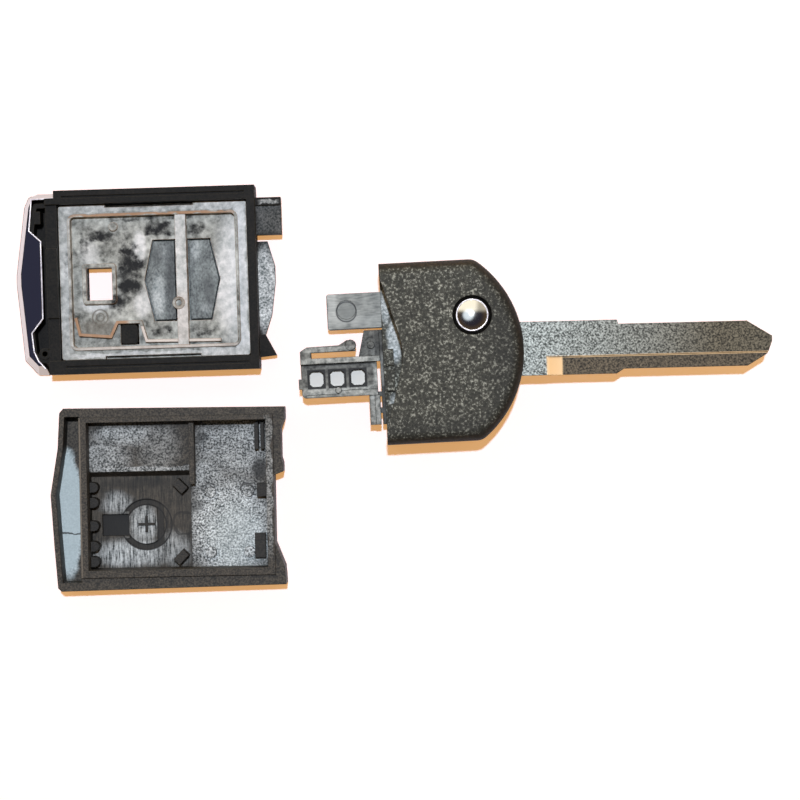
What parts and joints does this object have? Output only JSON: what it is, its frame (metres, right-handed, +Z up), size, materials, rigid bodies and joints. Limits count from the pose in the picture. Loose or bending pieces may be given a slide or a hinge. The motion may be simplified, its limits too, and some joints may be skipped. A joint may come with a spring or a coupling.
{
  "type": "flip key remote shell",
  "caption": "Flip-out car key remote shell taken apart: open case halves beside a key head whose blade folds about its release button.",
  "frame": {"origin": "middle of the whole layout in plan, at table level", "axes": "+X along the open blade towards its tip, +Z up from the table, +Y towards the button half of the case"},
  "size_m": [0.1328, 0.0712, 0.015],
  "materials": {
    "textured_abs": "black moulded ABS with a fine spark-eroded texture",
    "gloss_abs": "black moulded ABS, polished",
    "glass_filled_nylon": "dark grey glass-filled nylon",
    "chrome_plate": "chrome plate on moulded ABS",
    "clear_plastic": "clear moulded polycarbonate, slightly milky",
    "grey_plastic": "grey moulded ABS",
    "blade_steel": "nickel-plated steel, finely speckled",
    "black_zinc": "black-coated die-cast zinc",
    "spring_steel": "drawn spring steel"
  },
  "bodies": {
    "shells": {"front_shell": "gloss_abs", "end_trim": "chrome_plate", "keypad_carrier": "clear_plastic", "back_shell": "textured_abs", "head_front_shell": "textured_abs", "head_back_shell": "textured_abs", "coupling_frame": "gloss_abs", "transponder_tray": "glass_filled_nylon", "pivot_plug": "glass_filled_nylon"},
    "blade_unit": {"key_blade": "blade_steel", "pivot_hub": "black_zinc", "blade_roll_pin": "spring_steel", "flip_spring": "spring_steel"},
    "release_unit": {"release_button": "chrome_plate", "button_retainer": "spring_steel"},
    "lock_button": {"lock_key": "grey_plastic"},
    "unlock_button": {"unlock_key": "grey_plastic"}
  },
  "joints": [
    {"name": "blade_flip", "type": "hinge", "parent": "shells", "child": "blade_unit", "pos_m": [0.01406, 0.01256, 0], "axis": [0, 0, 1], "range_deg": [0, 180], "stiffness_Nm_per_rad": 0.008, "springref_deg": -34.38},
    {"name": "release_press", "type": "slide", "parent": "blade_unit", "child": "release_unit", "axis": [0, 0, -1], "range_m": [0, 0.0016], "stiffness_N_per_m": 750, "springref_m": -0.001, "deforming": ["flip_spring"]},
    {"name": "lock_press", "type": "slide", "parent": "shells", "child": "lock_button", "axis": [0, 0, 1], "range_m": [0, 0.0005], "stiffness_N_per_m": 500},
    {"name": "unlock_press", "type": "slide", "parent": "shells", "child": "unlock_button", "axis": [0, 0, 1], "range_m": [0, 0.0005], "stiffness_N_per_m": 500}
  ]
}
